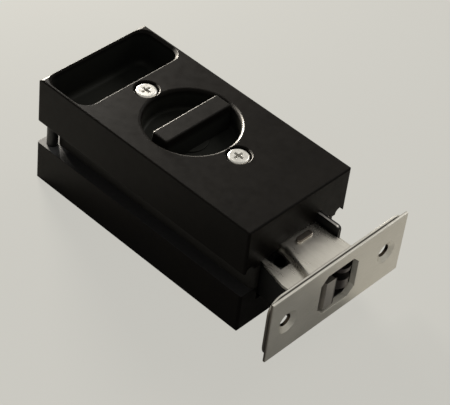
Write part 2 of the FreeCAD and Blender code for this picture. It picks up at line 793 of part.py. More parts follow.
def flange_points(inset):
    """The case flange's plan: outside the block wider in front, and no wider than the bracket behind."""
    inside = flange_half_width_inside - inset
    front = flange_half_width_outside - inset
    back = case_back_outside - inset
    taper_end = plate_rear - flange_taper_from_face
    return [(case_rear, inside), (latch_end, inside), (latch_end, back), (plate_rear, back),
            (plate_rear, -front), (taper_end, -front), (latch_end, -inside), (case_rear, -inside)]


def tray_points(inset):
    """The tray's plan, stepped in behind the bracket where it leaves the block."""
    side = case_half_width - inset
    back = case_back_outside - inset
    step = latch_end - inset
    return [(case_rear + inset, -side), (plate_rear, -side), (plate_rear, back), (step, back),
            (step, side), (case_rear + inset, side)]


def lid_relief():
    """The opening in the lid's flange between the raised box and the outer strip."""
    start = latch_end - relief_from_latch_end
    bend = latch_end + box_taper_start
    end = latch_end + relief_reach
    strip = flange_half_width_inside - relief_strip
    ledge = box_front_rear + relief_ledge
    slope = (box_front_face - box_front_rear) / (plate_rear - bend)
    points = [(start, -ledge), (bend, -ledge), (end, -ledge - slope * (end - bend)), (end, -strip),
              (start, -strip)]
    return prism(points, lid_bottom - cut_margin, lid_top + cut_margin)


def box_points(inset):
    """The raised box's plan, with its front side slanting out towards the faceplate."""
    return [
        (case_rear + inset, -box_front_rear + inset),
        (latch_end + box_taper_start, -box_front_rear + inset),
        (plate_rear, -box_front_face + inset),
        (plate_rear, box_back - inset),
        (case_rear + inset, box_back - inset),
    ]


def rivet_place(side):
    """Where a case rivet stands."""
    return case_rear + rivet_from_case_rear, side * rivet_side


def rivet_head_room(side, z0, z1):
    """Room in a shell for a rivet's head."""
    x, y = rivet_place(side)
    return rod(x, y, z0, z1, rivet_head_radius + seat_gap)


def case_rivet(side):
    """A rivet with flat heads through both halves of the case."""
    x, y = rivet_place(side)
    parts = [
        rod(x, y, case_bottom - rivet_head_height, case_bottom, rivet_head_radius),
        rod(x, y, case_bottom, lid_top, rivet_radius),
        rod(x, y, lid_top, lid_top + rivet_head_height, rivet_head_radius),
    ]
    return parts[0].fuse(parts[1:]).removeSplitter()


def latch_case_lid():
    """The pressed lid: a flat flange with a raised box over the hook and a lanced tab."""
    plate = prism(flange_points(0), lid_bottom, lid_top)
    plate = plate.cut(prism(box_points(sheet), lid_bottom - cut_margin, lid_top + cut_margin))
    raised = prism(box_points(0), lid_bottom, box_top)
    bends = [edge for edge in raised.Edges
             if edge.BoundBox.ZMin > box_top - edge_tolerance
             and edge.BoundBox.XMin < plate_rear - edge_tolerance]
    raised = raised.makeFillet(box_edge_radius, bends)
    raised = raised.cut(prism(box_points(sheet), lid_bottom - cut_margin, box_top - sheet))
    tab_x = latch_end + tab_from_latch_end
    tab = rounded_box(tab_x - tab_width / 2, tab_x + tab_width / 2, tab_offset - tab_length / 2,
                      tab_offset + tab_length / 2, box_top - sheet / 2, box_top + tab_height,
                      tab_width / 2 - edge_tolerance)
    lid = plate.fuse([raised, tab]).removeSplitter()
    holes = [lid_relief(), rod(hook_x, hook_y, lid_bottom - cut_margin, trunnion_bore_top,
                               trunnion_radius + running_gap)]
    for side in (-1, 1):
        x, y = rivet_place(side)
        holes.append(rod(x, y, lid_bottom - cut_margin, lid_top + cut_margin, rivet_radius))
    return lid.cut(holes)


def latch_case_tray():
    """The pressed tray: floor, rear and side walls, a lip below the lid and tabs into the plate."""
    hollow = prism(tray_points(sheet), case_bottom + sheet, lid_bottom + cut_margin)
    tray = prism(tray_points(0), case_bottom, lid_bottom).cut(hollow)
    lip_top = lid_bottom - tray_lip_drop
    lip = prism(flange_points(tray_lip_inset), lip_top - tray_lip_height, lip_top).cut(hollow)
    tabs = [box(plate_rear, plate_rear + rear_plate_thickness, low, high,
                latch_height - fixing_tab_height / 2, latch_height + fixing_tab_height / 2)
            for low, high in tab_places]
    tray = tray.fuse([lip] + tabs).removeSplitter()
    holes = [
        rod(hook_x, hook_y, case_bottom - cut_margin, case_bottom + sheet + cut_margin,
            trunnion_radius + running_gap),
        box(case_rear - cut_margin, case_rear + sheet + cut_margin,
            -bar_outer_edge - seat_gap, -bar_inner_edge + seat_gap,
            bar_bottom - sliding_gap, bar_top + sliding_gap),
    ]
    for side in (-1, 1):
        x, y = rivet_place(side)
        holes.append(rod(x, y, case_bottom - cut_margin, case_bottom + sheet + cut_margin, rivet_radius))
    return tray.cut(holes)


def case_bracket():
    """The black angle that stands on the lid beside the raised box."""
    rear = latch_end + bracket_reach - bracket_length
    front = latch_end + bracket_reach
    y = box_back + seat_gap
    web = box(rear, front, y, y + bracket_sheet, lid_top, bracket_top)
    corner = [edge for edge in web.Edges
              if edge.BoundBox.XMin > front - edge_tolerance
              and edge.BoundBox.ZMin > bracket_top - edge_tolerance]
    web = web.makeFillet(bracket_corner_radius, corner)
    foot = box(rear, latch_end, y, y + bracket_foot_width, lid_top, lid_top + bracket_sheet)
    return web.fuse(foot).removeSplitter()


def window(x0, x1):
    """The bolt's window with chamfered corners, cut through a faceplate."""
    half_y = window_length / 2
    half_z = window_width / 2
    cut = window_chamfer
    outline = [(half_y, half_z - cut), (half_y - cut, half_z), (cut - half_y, half_z),
               (-half_y, half_z - cut), (-half_y, cut - half_z), (cut - half_y, -half_z),
               (half_y - cut, -half_z), (half_y, cut - half_z)]
    corners = [Vector(x0, y, latch_height + z) for y, z in outline]
    wire = Part.makePolygon(corners + [corners[0]])
    return Part.Face(wire).extrude(Vector(x1 - x0, 0, 0))


def plate_hole(side, x0, x1, radius):
    """A faceplate screw hole."""
    centre = Vector(x0, side * plate_hole_spacing / 2, latch_height)
    return Part.makeCylinder(radius, x1 - x0, centre, Vector(1, 0, 0))


def broken_edges(plate):
    """A plate that stands across X, with the edges round both its faces broken."""
    around = [edge for edge in plate.Edges
              if edge.BoundBox.XMax - edge.BoundBox.XMin < edge_tolerance]
    return plate.makeChamfer(plate_edge_break, around)


def faceplate_front():
    """The square cornered front plate with two countersunk holes."""
    rear = face - front_plate_thickness
    half_length = faceplate_length / 2
    half_plate = faceplate_width / 2
    plate = box(rear, face, -half_length, half_length, latch_height - half_plate,
                latch_height + half_plate)
    plate = broken_edges(plate)
    tools = [window(rear - cut_margin, face + cut_margin)]
    for side in (-1, 1):
        centre = Vector(rear, side * plate_hole_spacing / 2, latch_height)
        tools.append(Part.makeCone(plate_hole_radius, countersink_radius, front_plate_thickness,
                                   centre, Vector(1, 0, 0)))
        tools.append(plate_hole(side, rear - cut_margin, face + cut_margin, plate_hole_radius))
    return plate.cut(tools)


def faceplate_rear():
    """The round cornered backing plate that the case is fixed to."""
    half_length = faceplate_length / 2
    half_plate = faceplate_width / 2
    plate = rounded_box(-half_plate, half_plate, -half_length, half_length, 0, rear_plate_thickness,
                        rear_plate_corner_radius)
    plate.rotate(Vector(0, 0, 0), Vector(0, 1, 0), 90)
    plate.translate(Vector(plate_rear, 0, latch_height))
    plate = broken_edges(plate)
    end = plate_rear + rear_plate_thickness + cut_margin
    tools = [window(plate_rear - cut_margin, end)]
    for side in (-1, 1):
        tools.append(plate_hole(side, plate_rear - cut_margin, end, plate_hole_radius))
    for low, high in tab_places:
        tools.append(box(plate_rear - cut_margin, end, low - running_gap, high + running_gap,
                         latch_height - fixing_tab_height / 2 - running_gap,
                         latch_height + fixing_tab_height / 2 + running_gap))
    return plate.cut(tools)


inner_clip_bottom = groove_top + clip_pocket_depth - washer_height - clip_height
outer_clip_bottom = groove_bottom - clip_pocket_depth + washer_height

pieces = {
    "inner_shell": inner_shell(),
    "outer_shell": outer_shell(),
    "core_frame": core_frame(),
    "locating_posts": locating_posts(),
    "clamp_screws": Part.makeCompound([clamp_screw(x) for x in screw_places]),
    "threaded_posts": Part.makeCompound([threaded_post(x) for x in screw_places]),
    "thumb_turn": thumb_turn(),
    "release_turn": release_turn(),
    "turn_spindle": spindle(),
    "inner_turn_clip": turn_clip(inner_clip_bottom),
    "outer_turn_clip": turn_clip(outer_clip_bottom),
    "inner_turn_washer": turn_washer(groove_top + clip_pocket_depth - washer_height + running_gap),
    "outer_turn_washer": turn_washer(groove_bottom - clip_pocket_depth),
    "turn_hub": turn_hub(),
    "crank_pin": crank_pin(),
    "drive_bar": drive_bar(),
    "hook_bolt": hook_bolt(),
    "hook_drive_pin": drive_pin(),
    "latch_case_lid": latch_case_lid(),
    "latch_case_tray": latch_case_tray(),
    "case_rivets": Part.makeCompound([case_rivet(side) for side in (-1, 1)]),
    "case_bracket": case_bracket(),
    "faceplate_front": faceplate_front(),
    "faceplate_rear": faceplate_rear(),
}

os.makedirs("parts", exist_ok=True)
for name, shape in pieces.items():
    shape.exportStep("parts/" + name + ".step")
    bounds = shape.BoundBox
    print(name, len(shape.Solids), shape.isValid(), round(shape.Volume, 2),
          [round(value, 2) for value in (bounds.XMin, bounds.XMax, bounds.YMin, bounds.YMax,
                                         bounds.ZMin, bounds.ZMax)])
print("bar travel", round(bar_travel, 4), "crank radius", round(crank_radius, 4))
print("hook pivot", round(hook_x, 3), round(hook_y, 3), "turn", round(turn_x, 3))
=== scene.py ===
import json
import math

import bpy
from mathutils import Matrix, Vector


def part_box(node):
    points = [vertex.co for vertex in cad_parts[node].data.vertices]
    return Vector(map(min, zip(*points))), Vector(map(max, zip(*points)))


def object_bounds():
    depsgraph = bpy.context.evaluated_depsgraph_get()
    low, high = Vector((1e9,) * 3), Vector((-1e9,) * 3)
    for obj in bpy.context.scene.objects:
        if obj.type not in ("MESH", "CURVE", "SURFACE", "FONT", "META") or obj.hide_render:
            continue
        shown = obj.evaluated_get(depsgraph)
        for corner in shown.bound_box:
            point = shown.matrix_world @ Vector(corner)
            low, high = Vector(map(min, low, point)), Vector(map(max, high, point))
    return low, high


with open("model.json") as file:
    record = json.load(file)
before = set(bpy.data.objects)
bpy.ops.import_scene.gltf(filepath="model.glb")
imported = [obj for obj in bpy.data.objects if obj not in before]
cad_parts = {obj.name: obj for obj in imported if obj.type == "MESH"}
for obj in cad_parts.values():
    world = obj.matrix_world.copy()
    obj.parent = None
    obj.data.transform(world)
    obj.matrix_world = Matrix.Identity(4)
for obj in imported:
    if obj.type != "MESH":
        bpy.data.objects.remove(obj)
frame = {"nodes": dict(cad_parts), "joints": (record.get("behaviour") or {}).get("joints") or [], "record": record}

# Sliding door block lock, dressed on its CAD frame. Metres, in the frame's own axes:
# X from the finger pull to the faceplate, Y along the faceplate, Z up through the door.

cad_low, cad_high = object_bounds()
mm = 0.001

# The photograph's viewpoint. Angles are in degrees, the lens and the sensor in millimetres.
view_azimuth = 39.37
view_elevation = 42.61
view_roll = 7.27
view_distance = 507 * mm
view_aim = Vector((5.3 * mm, 1.7 * mm, 15.6 * mm))
view_lens = 137.1
view_shift = (0.0033, 0.0016)
sensor_width = 36.0
view_clip = (0.02, 20.0)

# Backdrop
backdrop_colour = (0.60, 0.59, 0.545)
backdrop_mottling = 1.02
floor_glow = 0.90
floor_glow_reflected = 0.10
floor_reach = 4.0
floor_corners = 96
floor_gap = 0.02 * mm
fill_colour = (0.97, 0.98, 1.0)
world_strength = 0.15

# Lamps
window_target = Vector((-50 * mm, 0.0, 35 * mm))
window_colour = (1.0, 0.955, 0.875)
back_target = Vector((0.0, 0.0, 0.0))
back_colour = (1.0, 0.965, 0.93)

# Coats and blacks
coat_dark = (0.0064, 0.0054, 0.0045)
coat_light = (0.0088, 0.0075, 0.0062)
# Lighter coat on the edges: wear, and a painted sheen along them
worn_coat_sheen = (0.05, 0.048, 0.045)
# Lighter metal on the rims that face the pull-end lamp: rubbing, and a painted highlight
rubbed_highlight_metal = (0.17, 0.162, 0.15)
# Painted fill light that lightens the shaded hollows of the pull and cup
hollow_painted_fill = (0.034, 0.035, 0.030)
zinc_dark = (0.20, 0.195, 0.19)
zinc_light = (0.30, 0.295, 0.285)
core_brown = (0.013, 0.0115, 0.0095)
satin_black = (0.008, 0.008, 0.008)
tray_black = (0.010, 0.0095, 0.009)
# Lighter metal on the bracket's top edge: rubbing, and a painted highlight
bracket_rubbed_highlight_metal = (0.50, 0.485, 0.46)

# Staining and painted shade on the plated pieces
sheared_metal = (0.13, 0.105, 0.08)
# Painted shade in the joint between the faceplates
joint_painted_shade = (0.05, 0.045, 0.04)
# Painted shade on the screw holes' walls
hole_painted_shade = (0.045, 0.035, 0.025)
# Painted shade on the lanced tab, which damps its highlight
tab_painted_shade = (0.15, 0.125, 0.105)
# Painted shade in the hook's throat and round its trunnion
hook_throat_shade = (0.06, 0.052, 0.052)

# Rounding of edges, height of the finest bumps, and how near to a plane counts as on it
edge_round = 0.25 * mm
fine_edge_round = 0.12 * mm
coat_bump = 0.03 * mm
fine_bump = 0.02 * mm
hair = 0.05 * mm

# Wear with a painted edge sheen, painted rim highlights, polish and grain of the powder coat
worn_sheen_most = 0.35
coat_rough = (0.37, 0.46)
rubbed_highlight_least = 0.85
rubbed_highlight_polish = 0.08
rubbed_highlight_metallic = 0.7
coat_grain_strength = 0.32
coarse_grain_part = 0.7

# Gloss, shade and grain of the flat blacks
black_gloss = 0.3
black_darkest_part = 0.75
black_rough_change = 0.06
black_grain_strength = 0.25
# Metallic share of the bracket's lighter, painted-highlight edge
bracket_rubbed_highlight_metallic = 0.8

# Marks, clouds and roughness of the plated metals
marks_part = 0.55
clouds_part = 0.45
clouds_rough = (-0.03, 0.04)
punched_rough = 0.35

# The parts of a noise's range that the finishes use
noise_range = (0.3, 0.7)
cloud_range = (0.35, 0.65)
wear_sheen_range = (0.45, 0.7)
rub_highlight_range = (0.3, 0.6)


def named(rows, name):
    """The row of that name in one of the record's lists."""
    return next(row for row in rows if row["name"] == name)


# Places taken from the frame
inner_low, inner_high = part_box("inner_shell")
outer_low, outer_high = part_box("outer_shell")
front_low, front_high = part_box("faceplate_front")
bracket_low, bracket_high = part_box("case_bracket")
lid_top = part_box("latch_case_lid")[1].z
pull_end = inner_low.x
latch_end = inner_high.x
block_side = inner_high.y
block_top = inner_high.z
plate_joint = front_low.x
plate_middle = (front_low.z + front_high.z) / 2
plate_end = front_high.y
screw_spacing = named(frame["record"]["mounts"], "faceplate_screws")["dims"]["spacing_x_mm"] * mm
hook_pivot = Vector(named(frame["joints"], "hook_swing")["pos_m"])

# Each pair below says where a mask starts and where it is full. Places on the block:
ledge_bare_x = (pull_end + 10.4 * mm, pull_end + 7.4 * mm)
# Where the rims get lighter metal, a painted highlight as well as rubbing
rubbed_highlight_top_z = (block_top - 1.3 * mm, block_top - 1.0 * mm)
rubbed_highlight_foot_z = (outer_low.z + 1.3 * mm, outer_low.z + 1.0 * mm)
rim_wall_z = (block_top - 0.85 * mm, block_top - 0.7 * mm)
off_pull_end_x = (pull_end + 1.0 * mm, pull_end + 1.6 * mm)
# Where the hollows get painted fill light
fill_below_z = (block_top - 0.7 * mm, block_top - 2.4 * mm)
fill_above_z = (inner_low.z + 1.1 * mm, inner_low.z + 2.1 * mm)
fill_within_y = (block_side - 0.2 * mm, block_side - 0.7 * mm)
fill_from_x = (pull_end + 0.5 * mm, pull_end + 1.0 * mm)
fill_until_x = (latch_end - 14.7 * mm, latch_end - 15.7 * mm)

# Places on the faceplates. Those of the joint, window and holes are distances from their middles.
sheared_from_y = (plate_end - 8.5 * mm, plate_end - 6.5 * mm)
joint_from_y = (plate_end - 3.0 * mm, plate_end - 2.5 * mm)
joint_from_z = (9.0 * mm, 9.5 * mm)
joint_off_x = (0.4 * mm, 0.2 * mm)
window_off_y = (14.0 * mm, 13.0 * mm)
window_off_z = (9.0 * mm, 8.5 * mm)
hole_off = (3.5 * mm, 3.0 * mm)

# Places on the latch case, its bracket and the hook at rest
tab_z = (lid_top - 0.8 * mm, lid_top - 0.65 * mm)
bracket_edge_y = (bracket_low.y + 0.8 * mm, bracket_low.y + 0.6 * mm)
bracket_edge_z = (bracket_high.z - 0.4 * mm, bracket_high.z - 0.3 * mm)
past_jaw_x = (hook_pivot.x - 4.5 * mm, hook_pivot.x - 1.5 * mm)
past_nose_y = (hook_pivot.y - 6.7 * mm, hook_pivot.y - 6.3 * mm)
throat_y = (hook_pivot.y + 2.1 * mm, hook_pivot.y - 1.9 * mm)
trunnion_top_z = (hook_pivot.z + 2.8 * mm, hook_pivot.z + 2.95 * mm)

# How far a rounded normal agrees with the face's own
sharp_edge = (0.995, 0.9)

# How much of a normal lies along an axis
not_flat = (0.995, 0.96)
not_upright = (0.1, 0.3)
towards_pull_end = (-0.02, -0.22)
upward = (0.9, 0.98)
downward = (-0.9, -0.98)
floor_like = (0.5, 0.95)
bracket_edge_up = (0.6, 0.9)
plate_end_on = (0.6, 0.95)
joint_side_on = (0.9, 0.75)
wall_side_on = (0.5, 0.3)

# Weakest or strongest share where a mask doesn't go from 0 to 1
# Painted fill light in the shaded groove, past the uncoated zinc
groove_fill_share = 0.20
rubbed_highlight_end_share = 0.35
# Painted fill light on the hollows' walls
fill_wall_share = 0.8
sheared_most = 0.85
joint_most = 0.9
tab_most = 0.9


class Nodes:
    """A node tree with short calls for what the materials and the world need."""

    def __init__(self, tree):
        self.tree = tree

    def add(self, kind, **settings):
        node = self.tree.nodes.new(kind)
        for key, value in settings.items():
            setattr(node, key, value)
        return node

    def put(self, socket, value):
        """Links another node's output or sets a value. A colour gets its fourth number."""
        if isinstance(value, bpy.types.NodeSocket):
            self.tree.links.new(value, socket)
        elif isinstance(value, tuple) and len(socket.default_value) == 4:
            socket.default_value = (*value, 1.0)
        else:
            socket.default_value = value

    def feed(self, node, **values):
        """Fills a node's inputs by name, with underscores for spaces."""
        for key, value in values.items():
            self.put(node.inputs[key.replace("_", " ")], value)
        return node

    def spread(self, value, low, high, to_low=0.0, to_high=1.0):
        """Maps a range of values to another, from 0 to 1 if none is given."""
        node = self.add("ShaderNodeMapRange")
        self.feed(node, Value=value, From_Min=low, From_Max=high, To_Min=to_low, To_Max=to_high)
        return node.outputs["Result"]

    def math(self, operation, first, second=0.0):
        node = self.add("ShaderNodeMath", operation=operation)
        self.put(node.inputs[0], first)
        self.put(node.inputs[1], second)
        return node.outputs["Value"]

    def product(self, first, *others):
        for other in others:
            first = self.math("MULTIPLY", first, other)
        return first

    def total(self, first, second):
        return self.math("ADD", first, second)

    def larger(self, first, second):
        return self.math("MAXIMUM", first, second)

    def size(self, value):
        """A value without its sign."""
        return self.math("ABSOLUTE", value)

    def mix(self, share, first, second):
        """A colour between two colours."""
        node = self.add("ShaderNodeMix", data_type="RGBA")
        for number, value in ((0, share), (6, first), (7, second)):
            self.put(node.inputs[number], value)
        return node.outputs[2]

    def blend(self, share, first, second, output):
        """Sends an output a shader between two shaders."""
        node = self.add("ShaderNodeMixShader")
        for socket, value in zip(node.inputs, (share, first.outputs[0], second.outputs[0])):
            self.put(socket, value)
        self.put(output, node.outputs[0])


class Finish(Nodes):
    """A new material's nodes, with its shader and the object's places at hand."""

    def __init__(self, name):
        self.material = bpy.data.materials.new(name)
        self.material.use_nodes = True
        super().__init__(self.material.node_tree)
        self.shader = self.tree.nodes["Principled BSDF"]
        self.places = self.add("ShaderNodeTexCoord").outputs["Object"]

    def part(self, vector, axis):
        """A vector's part along an axis."""
        split = self.add("ShaderNodeSeparateXYZ")
        self.put(split.inputs[0], vector)
        return split.outputs[axis]

    def place(self, axis):
        return self.part(self.places, axis)

    def true_normal(self, axis):
        return self.part(self.add("ShaderNodeNewGeometry").outputs["True Normal"], axis)

    def off(self, axis, middle):
        """The distance from a plane across the axis."""
        return self.size(self.math("SUBTRACT", self.place(axis), middle))

    def at(self, axis, place):
        """1 on a plane across the axis, 0 away from it."""
        share = self.math("COMPARE", self.place(axis), place)
        share.node.inputs[2].default_value = hair
        return share

    def noise(self, scale, detail=3.0, rough=0.55, places=None):
        node = self.add("ShaderNodeTexNoise")
        self.feed(node, Vector=places or self.places, Scale=scale, Detail=detail, Roughness=rough)
        return node.outputs["Fac"]

    def stretched(self, x, y, z):
        """The object's places, scaled per axis."""
        node = self.feed(self.add("ShaderNodeMapping"), Vector=self.places, Scale=(x, y, z))
        return node.outputs["Vector"]

    def soft_edges(self, radius):
        """Normals rounded over sharp edges."""
        node = self.feed(self.add("ShaderNodeBevel", samples=6), Radius=radius)
        return node.outputs["Normal"]

    def edge_share(self, radius):
        """1 along sharp edges, 0 on open faces."""
        facing = self.add("ShaderNodeVectorMath", operation="DOT_PRODUCT")
        self.put(facing.inputs[0], self.soft_edges(radius))
        self.put(facing.inputs[1], self.add("ShaderNodeNewGeometry").outputs["Normal"])
        return self.spread(facing.outputs["Value"], *sharp_edge)

    def bump(self, height, distance, strength, normal):
        node = self.add("ShaderNodeBump")
        self.feed(node, Height=height, Distance=distance, Strength=strength, Normal=normal)
        return node.outputs["Normal"]


# Where the surfaces wear, get stained or are uncoated, and where shade, fill light and highlights are painted


def bare_zinc_and_fill_share(nodes):
    """1 on the faces that clamp the door near the pull end, which are uncoated zinc. Further in a weaker share
    lightens the shaded groove, a painted fill light.
    """
    ledge = nodes.product(nodes.spread(nodes.true_normal("Z"), *upward), nodes.at("Z", outer_high.z))
    rim = nodes.product(nodes.spread(nodes.true_normal("Z"), *downward), nodes.at("Z", inner_low.z))
    along = nodes.spread(nodes.place("X"), *ledge_bare_x, groove_fill_share, 1.0)
    return nodes.product(nodes.larger(ledge, rim), along)


def rubbed_highlight_share(nodes):
    """1 on the rims and bar edges that face the pull end and its low lamp, where fingers rub. There the coat turns
    to lighter metal, a painted highlight as well as rubbing.
    """
    slope = nodes.size(nodes.true_normal("Z"))
    off_end = nodes.spread(nodes.place("X"), *off_pull_end_x)
    rim_wall = nodes.product(nodes.spread(nodes.place("Z"), *rim_wall_z), off_end)
    curved = nodes.larger(nodes.spread(slope, *not_upright), rim_wall)
    facing = nodes.spread(nodes.true_normal("X"), *towards_pull_end)
    pushed = nodes.product(facing, nodes.larger(off_end, rubbed_highlight_end_share))
    top = nodes.spread(nodes.place("Z"), *rubbed_highlight_top_z)
    foot = nodes.spread(nodes.place("Z"), *rubbed_highlight_foot_z)
    return nodes.product(nodes.spread(slope, *not_flat), curved, pushed, nodes.larger(top, foot))


def hollow_fill_share(nodes):
    """1 on the floors of the room side's finger pull and cup, and less on their walls: a painted fill light that
    lightens these shaded hollows.
    """
    below_rim = nodes.spread(nodes.place("Z"), *fill_below_z)
    above_base = nodes.spread(nodes.place("Z"), *fill_above_z)
    inside = nodes.spread(nodes.size(nodes.place("Y")), *fill_within_y)
    off_pull_end = nodes.spread(nodes.place("X"), *fill_from_x)
    off_latch_end = nodes.spread(nodes.place("X"), *fill_until_x)
    floor = nodes.spread(nodes.true_normal("Z"), *floor_like, fill_wall_share, 1.0)
    return nodes.product(below_rim, above_base, inside, off_pull_end, off_latch_end, floor)


def bracket_rubbed_highlight_share(nodes):
    """1 on the rim of the bracket's top edge, where rubbing shows lighter metal that paints the edge's highlight.
    """
    up = nodes.spread(nodes.true_normal("Z"), *bracket_edge_up)
    by_height = nodes.spread(nodes.place("Z"), *bracket_edge_z)
    by_side = nodes.spread(nodes.place("Y"), *bracket_edge_y)
    return nodes.product(up, by_height, by_side)


def sheared_share(nodes):
    """High on the plates' short edges, which the press cut and the plating hardly covers."""
    along = nodes.spread(nodes.size(nodes.true_normal("Y")), *plate_end_on, 0.0, sheared_most)
    return nodes.product(along, nodes.spread(nodes.size(nodes.place("Y")), *sheared_from_y))


def joint_shade_share(nodes):
    """High in the joint between the faceplates: painted shade in the gap."""
    inside = nodes.spread(nodes.off("X", plate_joint), *joint_off_x)
    side_on = nodes.spread(nodes.size(nodes.true_normal("X")), *joint_side_on, 0.0, joint_most)
    long_edges = nodes.spread(nodes.off("Z", plate_middle), *joint_from_z)
    short_edges = nodes.spread(nodes.size(nodes.place("Y")), *joint_from_y)
    return nodes.product(nodes.larger(long_edges, short_edges), inside, side_on)


def hole_shade_share(nodes):
    """1 on the walls of the plates' two screw holes, which get painted shade."""
    side_on = nodes.spread(nodes.size(nodes.true_normal("X")), *wall_side_on)
    from_hole = nodes.size(nodes.math("SUBTRACT", nodes.size(nodes.place("Y")), screw_spacing / 2))
    by_height = nodes.spread(nodes.off("Z", plate_middle), *hole_off)
    return nodes.product(side_on, nodes.spread(from_hole, *hole_off), by_height)


def punched_share(nodes):
    """1 on the walls of the plates' window, which the punch left rough."""
    side_on = nodes.spread(nodes.size(nodes.true_normal("X")), *wall_side_on)
    by_length = nodes.spread(nodes.size(nodes.place("Y")), *window_off_y)
    return nodes.product(side_on, by_length, nodes.spread(nodes.off("Z", plate_middle), *window_off_z))


def tab_shade_share(nodes):
    """High on the lanced tab, which stands above the lid's raised box. It is darkened there, a painted shade that
    damps its highlight.
    """
    return nodes.spread(nodes.place("Z"), *tab_z, 0.0, tab_most)


def throat_shade_share(nodes):
    """1 in the hook's throat and round its trunnion, which are darkened as painted shade."""
    past_jaw = nodes.spread(nodes.place("X"), *past_jaw_x)
    past_nose = nodes.spread(nodes.place("Y"), *past_nose_y)
    throat = nodes.spread(nodes.place("Y"), *throat_y)
    trunnion = nodes.spread(nodes.place("Z"), *trunnion_top_z)
    return nodes.product(past_jaw, past_nose, nodes.larger(throat, trunnion))


# Finishes


def coat_colour(nodes, rubbed_highlight):
    """Black with faint clouds, edges lightened by wear and a painted sheen, painted fill light in the hollows,
    rims lightened as painted highlights where fingers rub, and uncoated zinc that turns into painted fill light
    along the groove.
    """
    clouds = nodes.noise(scale=60, detail=3.0, rough=0.6)
    patches = nodes.noise(scale=380, detail=4.0)
    zinc_grain = nodes.noise(scale=900, detail=5.0)
    # Edges lightened by wear, which also paints a sheen along them
    worn_sheen = nodes.product(nodes.edge_share(edge_round), nodes.spread(patches, *wear_sheen_range), worn_sheen_most)
    colour = nodes.mix(nodes.spread(clouds, *cloud_range), coat_dark, coat_light)
    colour = nodes.mix(worn_sheen, colour, worn_coat_sheen)
    # Painted fill light lightens the shaded hollows
    colour = nodes.mix(hollow_fill_share(nodes), colour, hollow_painted_fill)
    # Rims facing the pull-end lamp turn to lighter metal, a painted highlight as well as rubbing
    colour = nodes.mix(rubbed_highlight, colour, rubbed_highlight_metal)
    # Uncoated zinc near the pull end; further in, the same mix paints fill light in the groove
    return nodes.mix(bare_zinc_and_fill_share(nodes), colour, nodes.mix(zinc_grain, zinc_dark, zinc_light))


def powder_coat(name, gloss):
    """Matte black powder coat, thin on edges from wear, uncoated on the faces that clamp the door. Painted light:
    a sheen on the edges, highlights on the rims that face the pull end, and fill light in the hollows and groove.
    """
    nodes = Finish(name)
    highlight_breakup = nodes.noise(scale=120)
    rubbed_highlight = nodes.product(rubbed_highlight_share(nodes), nodes.spread(highlight_breakup, *rub_highlight_range, rubbed_highlight_least, 1.0))
    rough = nodes.spread(nodes.noise(scale=420), *noise_range, *coat_rough)
    rough = nodes.math("SUBTRACT", rough, nodes.product(rubbed_highlight, rubbed_highlight_polish))
    fine_grain = nodes.noise(scale=2600, detail=2.0, rough=0.5)
    coarse_grain = nodes.noise(scale=900, detail=2.0)
    grain = nodes.total(fine_grain, nodes.product(coarse_grain, coarse_grain_part))
    normal = nodes.bump(grain, coat_bump, coat_grain_strength, nodes.soft_edges(edge_round))
    colour = coat_colour(nodes, rubbed_highlight)
    nodes.feed(nodes.shader, Base_Color=colour, Metallic=nodes.product(rubbed_highlight, rubbed_highlight_metallic))
    nodes.feed(nodes.shader, Roughness=rough, Normal=normal, Specular_IOR_Level=gloss)
    return nodes.material


def flat_black(name, colour, rough, grain_scale, rubbed_highlight_mask=None):
    """Flat black finish with a fine grain. The optional mask says where rubbing shows lighter metal, a painted
    highlight, if anywhere.
    """
    nodes = Finish(name)
    darkest = tuple(black_darkest_part * part for part in colour)
    shade = nodes.mix(nodes.noise(grain_scale), darkest, colour)
    if rubbed_highlight_mask:
        # Lighter metal where the mask says, rubbing and a painted highlight
        rubbed_highlight = rubbed_highlight_mask(nodes)
        shade = nodes.mix(rubbed_highlight, shade, bracket_rubbed_highlight_metal)
        nodes.feed(nodes.shader, Metallic=nodes.product(rubbed_highlight, bracket_rubbed_highlight_metallic))
    rough_range = (rough - black_rough_change, rough + black_rough_change)
    shine = nodes.spread(nodes.noise(grain_scale * 2), *noise_range, *rough_range)
    grain = nodes.noise(grain_scale * 4, detail=2.0)
    normal = nodes.bump(grain, fine_bump, black_grain_strength, nodes.soft_edges(fine_edge_round))
    nodes.feed(nodes.shader, Base_Color=shade, Roughness=shine, Normal=normal,
               Specular_IOR_Level=black_gloss)
    return nodes.material


def plated_metal(name, dark, light, rough, streaks, streak_strength, rough_change=0.05,
                 stains_and_shades=(), roughened=None):
    """Plated metal with fine marks, scaled per axis by streaks, and a faint cloudy tarnish. Each staining mark
    and each painted shade is a mask and a colour, and the mask roughened says where the surface is rough, if
    anywhere."""
    nodes = Finish(name)
    marks = nodes.noise(scale=1.0, detail=4.0, rough=0.65, places=nodes.stretched(*streaks))
    clouds = nodes.noise(scale=70, detail=4.0, rough=0.6)
    mottling = nodes.total(nodes.product(nodes.spread(marks, *noise_range), marks_part),
                           nodes.product(nodes.spread(clouds, *cloud_range), clouds_part))
    colour = nodes.mix(mottling, dark, light)
    for share, mark_colour in stains_and_shades:
        colour = nodes.mix(share(nodes), colour, mark_colour)
    shine = nodes.total(nodes.spread(marks, *noise_range, rough - rough_change, rough + rough_change),
                        nodes.spread(clouds, *cloud_range, *clouds_rough))
    if roughened:
        shine = nodes.total(shine, nodes.product(roughened(nodes), punched_rough))
    normal = nodes.bump(marks, fine_bump, streak_strength, nodes.soft_edges(fine_edge_round))
    nodes.feed(nodes.shader, Base_Color=colour, Metallic=1.0, Roughness=shine, Normal=normal)
    return nodes.material


def core_finish():
    return flat_black("core_dark_brown", core_brown, rough=0.62, grain_scale=500)


def post_finish():
    return flat_black("post_blackened", satin_black, rough=0.45, grain_scale=700)


